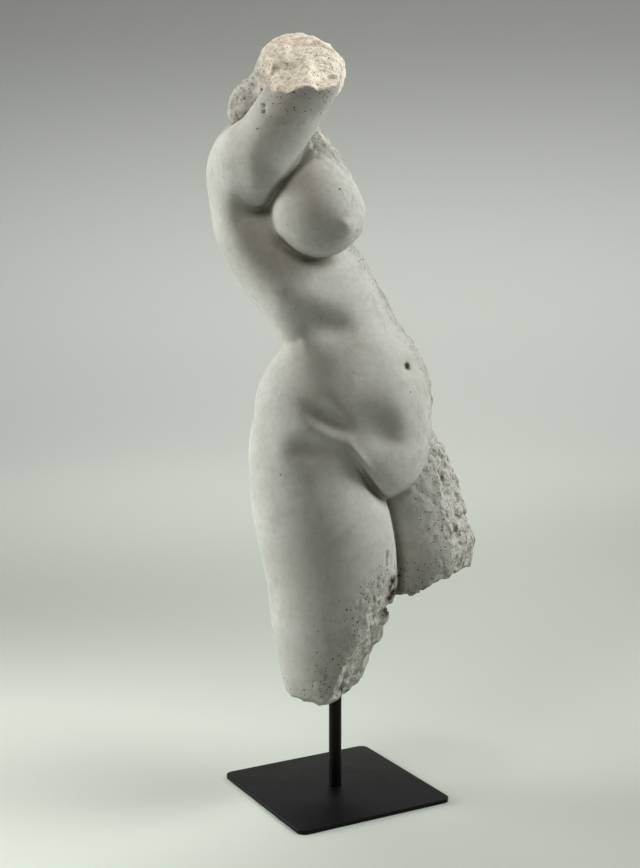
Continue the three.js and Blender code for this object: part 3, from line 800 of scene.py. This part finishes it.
def studio_paper():
    """Seamless paper in a pale grey green, matt, painted darker up the wall and on the camera's side as painted
    shade.
    """
    material, tree = new_material("studio_paper")
    where = add(tree, "TexCoord", {}).outputs["Object"]
    up = add(tree, "SeparateXYZ", {"Vector": where}).outputs["Z"]
    # painted shade: the paper darkens up the wall toward #787874, where the lamps reach less
    painted_wall_shade = add(tree, "MapRange", {0: up, 1: 0.25, 2: 1.5}, interpolation_type="SMOOTHSTEP")
    tone = add(tree, "Mix", {0: painted_wall_shade.outputs[0], 6: linear("#c4c7c0"), 7: linear("#787874")}, data_type="RGBA")
    away = add(tree, "VectorMath", {0: where, 1: seen(0.0, 1.0, 0.0)}, operation="DOT_PRODUCT").outputs["Value"]
    # painted shade: the paper darkens toward #8c8e88 on the camera's side
    front = add(tree, "MapRange", {0: away, 1: -0.65, 2: -1.1}, interpolation_type="SMOOTHSTEP")
    tone = add(tree, "Mix", {0: front.outputs[0], 6: tone.outputs[2], 7: linear("#8c8e88")}, data_type="RGBA")
    shader = add(tree, "BsdfPrincipled", {"Base Color": tone.outputs[2], "Roughness": 0.95})
    add(tree, "OutputMaterial", {"Surface": shader.outputs[0]})
    return material


plaster = cast_gypsum_plaster()
paint = satin_black_paint()


def torso_piece():
    """The whole cast: the same forms as the solid, netted finely, with its grain, chips and crumbs."""
    verts, faces, slope = net_surface(DRAWN_LOW, DRAWN_HIGH, FINE_STEP)
    broken, top_region, near, hollow = surface_marks(verts, faces, slope)
    low, high = verts[:, 2].min(), verts[:, 2].max()
    piece = net_object("plaster_torso", to_row(verts, low, high), faces)
    add_attribute(piece, "broken", broken)
    add_attribute(piece, "top_break", top_region)
    add_attribute(piece, "near_break", near)
    add_attribute(piece, "hollow", hollow)
    piece.data.materials.append(plaster)
    thin_out(piece, TRIANGLE_LIMIT)
    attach(piece, "root")
    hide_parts("torso")
    return piece


def rod_piece():
    """Round bar with a turned chamfer at its hidden upper end; its foot meets the plate."""
    radius = ROD_DIAMETER / 2
    top = TORSO_FOOT_HEIGHT + SOCKET_DEPTH - ROD_END_CLEARANCE
    profile = [(radius, PLATE_THICKNESS), (radius, top - ROD_CHAMFER), (radius - ROD_CHAMFER, top)]
    sides = 96
    verts = []
    for r, z in profile:
        for n in range(sides):
            a = 2.0 * math.pi * n / sides
            verts.append((r * math.cos(a) * MM, r * math.sin(a) * MM, z * MM))
    faces = []
    for ring in range(len(profile) - 1):
        for n in range(sides):
            m = (n + 1) % sides
            faces.append((ring * sides + n, ring * sides + m, (ring + 1) * sides + m, (ring + 1) * sides + n))
    faces.append(tuple(range(sides))[::-1])
    faces.append(tuple((len(profile) - 1) * sides + n for n in range(sides)))
    piece = mesh_object("steel_rod", verts, faces)
    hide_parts("rod")
    return piece


def plate_piece():
    """Laser-cut plate: rounded corners, and its edges broken to a small radius all round."""
    half = PLATE_SIDE / 2 - PLATE_CORNER_RADIUS
    corner_steps = 16
    edge_steps = 4
    outline = []
    for turn in range(4):
        sx, sy = [(1, 1), (-1, 1), (-1, -1), (1, -1)][turn]
        for n in range(corner_steps + 1):
            a = math.radians(90.0 * (turn + n / corner_steps))
            outline.append((sx * half, sy * half, math.cos(a), math.sin(a)))
    e = PLATE_EDGE_BREAK
    rings = []
    for n in range(edge_steps + 1):
        a = math.radians(-90.0 + 90.0 * n / edge_steps)
        rings.append((e * (math.cos(a) - 1.0), e * (math.sin(a) + 1.0)))
    for n in range(edge_steps + 1):
        a = math.radians(90.0 * n / edge_steps)
        rings.append((e * (math.cos(a) - 1.0), PLATE_THICKNESS - e + e * math.sin(a)))
    verts = []
    for inset, z in rings:
        for cx, cy, nx, ny in outline:
            r = PLATE_CORNER_RADIUS + inset
            verts.append(((cx + nx * r) * MM, (cy + ny * r) * MM, z * MM))
    count = len(outline)
    faces = []
    for ring in range(len(rings) - 1):
        for n in range(count):
            m = (n + 1) % count
            faces.append((ring * count + n, ring * count + m, (ring + 1) * count + m, (ring + 1) * count + n))
    faces.append(tuple(range(count))[::-1])
    faces.append(tuple((len(rings) - 1) * count + n for n in range(count)))
    piece = mesh_object("steel_plate", verts, faces)
    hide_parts("base_plate")
    return piece


def shade_smooth(piece, angle):
    """Smooth shading, with edges sharper than angle degrees kept crisp."""
    mesh = bmesh.new()
    mesh.from_mesh(piece.data)
    for face in mesh.faces:
        face.smooth = True
    for edge in mesh.edges:
        edge.smooth = len(edge.link_faces) == 2 and edge.calc_face_angle() < math.radians(angle)
    mesh.to_mesh(piece.data)
    mesh.free()


torso_piece()
for piece in (rod_piece(), plate_piece()):
    piece.data.materials.append(paint)
    shade_smooth(piece, 40.0)


def studio():
    """A round cove: floor and wall in one sweep of paper, so that every side sees the same backdrop."""
    sides = 96
    floor_radius, wall_radius, wall_height = 2.2, 3.4, 3.4
    profile = [(0.02, 0.0), (floor_radius * 0.5, 0.0), (floor_radius, 0.0)]
    for n in range(1, 13):
        a = math.radians(90.0 * n / 12)
        bend = wall_radius - floor_radius
        profile.append((floor_radius + bend * math.sin(a), bend * (1.0 - math.cos(a))))
    profile.append((wall_radius, wall_height))
    verts = [(r * math.cos(2 * math.pi * n / sides), r * math.sin(2 * math.pi * n / sides), z)
             for r, z in profile for n in range(sides)]
    faces = [(i * sides + n, i * sides + (n + 1) % sides, (i + 1) * sides + (n + 1) % sides, (i + 1) * sides + n)
             for i in range(len(profile) - 1) for n in range(sides)]
    faces = [f[::-1] for f in faces]
    faces.append(tuple(range(sides)))
    data = bpy.data.meshes.new("studio_cove")
    data.from_pydata(verts, [], faces)
    data.update()
    cove = bpy.data.objects.new("studio_cove", data)
    bpy.context.collection.objects.link(cove)
    for face in data.polygons:
        face.use_smooth = True
    cove.data.materials.append(studio_paper())


def soft_light(name, place, aim, size, watts, colour, spread):
    data = bpy.data.lights.new(name, "AREA")
    data.shape = "RECTANGLE"
    data.size, data.size_y = size
    data.energy = watts
    data.color = linear(colour)[:3]
    data.spread = math.radians(spread)
    light = bpy.data.objects.new(name, data)
    light.location = place
    light.rotation_euler = (aim - place).to_track_quat("-Z", "Y").to_euler()
    bpy.context.collection.objects.link(light)


studio()
middle = seen(0.0, 0.0, 0.42)
# two tall softboxes, a little behind the figure, leave a darker core down its middle
soft_light("left_softbox", seen(-1.4, 0.26, 0.6), seen(0.0, 0.0, 0.26), (0.8, 0.8), 3.2, "#fbfffc", 60.0)
soft_light("right_softbox", seen(1.2, 0.08, 1.2), seen(0.0, 0.0, 0.46), (0.6, 0.8), 8.4, "#fbfffc", 110.0)
# a smaller one from high in front opens the shadows of the upper body
soft_light("high_softbox", seen(-0.6, -0.75, 1.45), seen(-0.04, 0.0, 0.76), (0.5, 0.5), 0.36, "#fff6ec", 36.0)
# the paper has its own lights, kept off the figure: the wall behind, then the floor behind and in front
soft_light("paper_light", seen(0.2, 1.9, 2.2), seen(0.15, 3.1, 0.3), (2.6, 0.4), 54.0, "#ffffff", 180.0)
soft_light("front_paper_light", seen(-0.2, -1.9, 2.2), seen(-0.15, -3.1, 0.3), (2.6, 0.4), 14.0, "#ffffff", 120.0)
soft_light("far_floor_light", seen(-0.1, 1.3, 2.3), seen(-0.1, 1.3, 0.0), (1.6, 0.5), 2.6, "#f8fff9", 62.0)
soft_light("near_floor_light", seen(-0.55, -0.15, 2.0), seen(-0.55, -0.15, 0.0), (0.7, 0.4), 1.7, "#f8fff9", 36.0)

world = bpy.data.worlds.new("studio_air")
world.use_nodes = True
world.node_tree.nodes["Background"].inputs["Color"].default_value = linear("#e4e8e4")
world.node_tree.nodes["Background"].inputs["Strength"].default_value = 0.01
bpy.context.scene.world = world
bpy.context.scene.view_settings.view_transform = "Standard"
